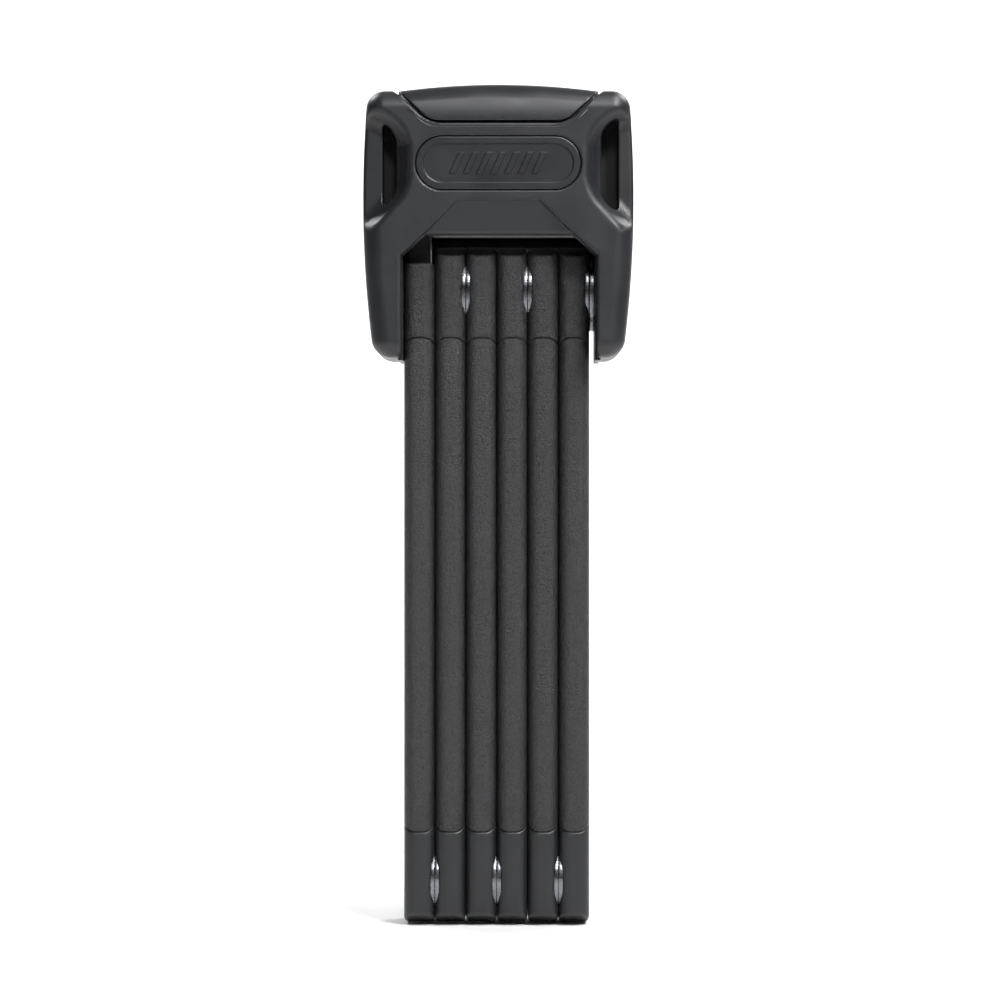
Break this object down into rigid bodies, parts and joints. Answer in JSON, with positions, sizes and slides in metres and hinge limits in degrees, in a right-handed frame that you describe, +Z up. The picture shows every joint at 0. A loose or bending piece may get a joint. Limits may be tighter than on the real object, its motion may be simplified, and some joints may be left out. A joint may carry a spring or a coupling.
{
  "type": "folding bike lock",
  "caption": "Folding bicycle lock, closed: coated steel bars riveted end to end fold into a stack that hangs from a locking body with a key cylinder.",
  "frame": {"origin": "under the middle of the lock body, level with the lower ends of the bars", "axes": "+X across the stack of bars, +Y from front to back, +Z up along the bars towards the key cylinder"},
  "size_m": [0.0674, 0.0392, 0.2097],
  "materials": {
    "shell_plastic": "fine matt grain",
    "cap_plastic": "satin",
    "badge_plastic": "satin",
    "shutter_plastic": "satin",
    "liner_plastic": "matt",
    "bar_sleeve": "soft speckled grain",
    "bar_end_cap": "satin",
    "core_steel": "black coated hardened steel",
    "washer_steel": "turned",
    "rivet_steel": "peened",
    "case_steel": "black coated",
    "hard_steel": "hardened",
    "screw_steel": "black oxide",
    "bolt_steel": "ground",
    "cylinder_brass": "machined"
  },
  "bodies": {
    "lock_body": {"anti_drill_plate": "hard_steel", "badge_plate": "badge_plastic", "body_pivot_rivet": "rivet_steel", "body_pivot_washer": "washer_steel", "case_plate": "case_steel", "case_plate_screws": "screw_steel", "cover_screws": "screw_steel", "cylinder_housing": "cylinder_brass", "front_cover": "shell_plastic", "left_leg_liner": "liner_plastic", "lock_case": "case_steel", "rear_cover": "shell_plastic", "right_leg_liner": "liner_plastic", "top_cap": "cap_plastic"},
    "link_1": {"link_1_2_rivet": "rivet_steel", "link_1_core": "core_steel", "link_1_lower_cap": "bar_end_cap", "link_1_sleeve": "bar_sleeve", "link_1_upper_cap": "bar_end_cap", "link_1_washers": "washer_steel"},
    "link_2": {"link_2_3_rivet": "rivet_steel", "link_2_core": "core_steel", "link_2_lower_cap": "bar_end_cap", "link_2_sleeve": "bar_sleeve", "link_2_upper_cap": "bar_end_cap", "link_2_washers": "washer_steel"},
    "link_3": {"link_3_4_rivet": "rivet_steel", "link_3_core": "core_steel", "link_3_lower_cap": "bar_end_cap", "link_3_sleeve": "bar_sleeve", "link_3_upper_cap": "bar_end_cap", "link_3_washers": "washer_steel"},
    "link_4": {"link_4_5_rivet": "rivet_steel", "link_4_core": "core_steel", "link_4_lower_cap": "bar_end_cap", "link_4_sleeve": "bar_sleeve", "link_4_upper_cap": "bar_end_cap", "link_4_washers": "washer_steel"},
    "link_5": {"link_5_6_rivet": "rivet_steel", "link_5_core": "core_steel", "link_5_lower_cap": "bar_end_cap", "link_5_sleeve": "bar_sleeve", "link_5_upper_cap": "bar_end_cap", "link_5_washers": "washer_steel"},
    "link_6": {"link_6_core": "core_steel", "link_6_lower_cap": "bar_end_cap", "link_6_sleeve": "bar_sleeve", "link_6_upper_cap": "bar_end_cap", "link_6_washers": "washer_steel"},
    "key_plug": {"cylinder_plug": "cylinder_brass", "detainer_discs": "cylinder_brass", "sidebar": "bolt_steel"},
    "bolt": {"locking_bolt": "bolt_steel"},
    "shutter": {"keyhole_shutter": "shutter_plastic"}
  },
  "joints": [
    {"name": "body_pivot", "type": "hinge", "parent": "lock_body", "child": "link_1", "pos_m": [0, 0, 0.159], "axis": [1, 0, 0], "range_deg": [-85, 85]},
    {"name": "pivot_1_2", "type": "hinge", "parent": "link_1", "child": "link_2", "pos_m": [0, 0, 0.0109], "axis": [1, 0, 0], "range_deg": [-170, 170]},
    {"name": "pivot_2_3", "type": "hinge", "parent": "link_2", "child": "link_3", "pos_m": [0, 0, 0.159], "axis": [1, 0, 0], "range_deg": [-85, 85]},
    {"name": "pivot_3_4", "type": "hinge", "parent": "link_3", "child": "link_4", "pos_m": [0, 0, 0.0109], "axis": [1, 0, 0], "range_deg": [-85, 85]},
    {"name": "pivot_4_5", "type": "hinge", "parent": "link_4", "child": "link_5", "pos_m": [0, 0, 0.159], "axis": [1, 0, 0], "range_deg": [-170, 170]},
    {"name": "pivot_5_6", "type": "hinge", "parent": "link_5", "child": "link_6", "pos_m": [0, 0, 0.0109], "axis": [1, 0, 0], "range_deg": [-85, 85]},
    {"name": "key_turn", "type": "hinge", "parent": "lock_body", "child": "key_plug", "pos_m": [0, 0, 0.19], "axis": [0, 0, 1], "range_deg": [0, 90]},
    {"name": "bolt_slide", "type": "slide", "parent": "lock_body", "child": "bolt", "axis": [1, 0, 0], "range_m": [0, 0.00735]},
    {"name": "shutter_slide", "type": "slide", "parent": "lock_body", "child": "shutter", "axis": [1, 0, 0], "range_m": [0, 0.013]}
  ],
  "couplings": [
    {"joint": "pivot_1_2", "follows": "body_pivot", "ratio": -2},
    {"joint": "pivot_2_3", "follows": "body_pivot", "ratio": 1},
    {"joint": "pivot_3_4", "follows": "body_pivot", "ratio": 1},
    {"joint": "pivot_4_5", "follows": "body_pivot", "ratio": -2},
    {"joint": "pivot_5_6", "follows": "body_pivot", "ratio": 1},
    {"joint": "key_turn", "follows": "bolt_slide", "rad_per_m": 213.6}
  ]
}
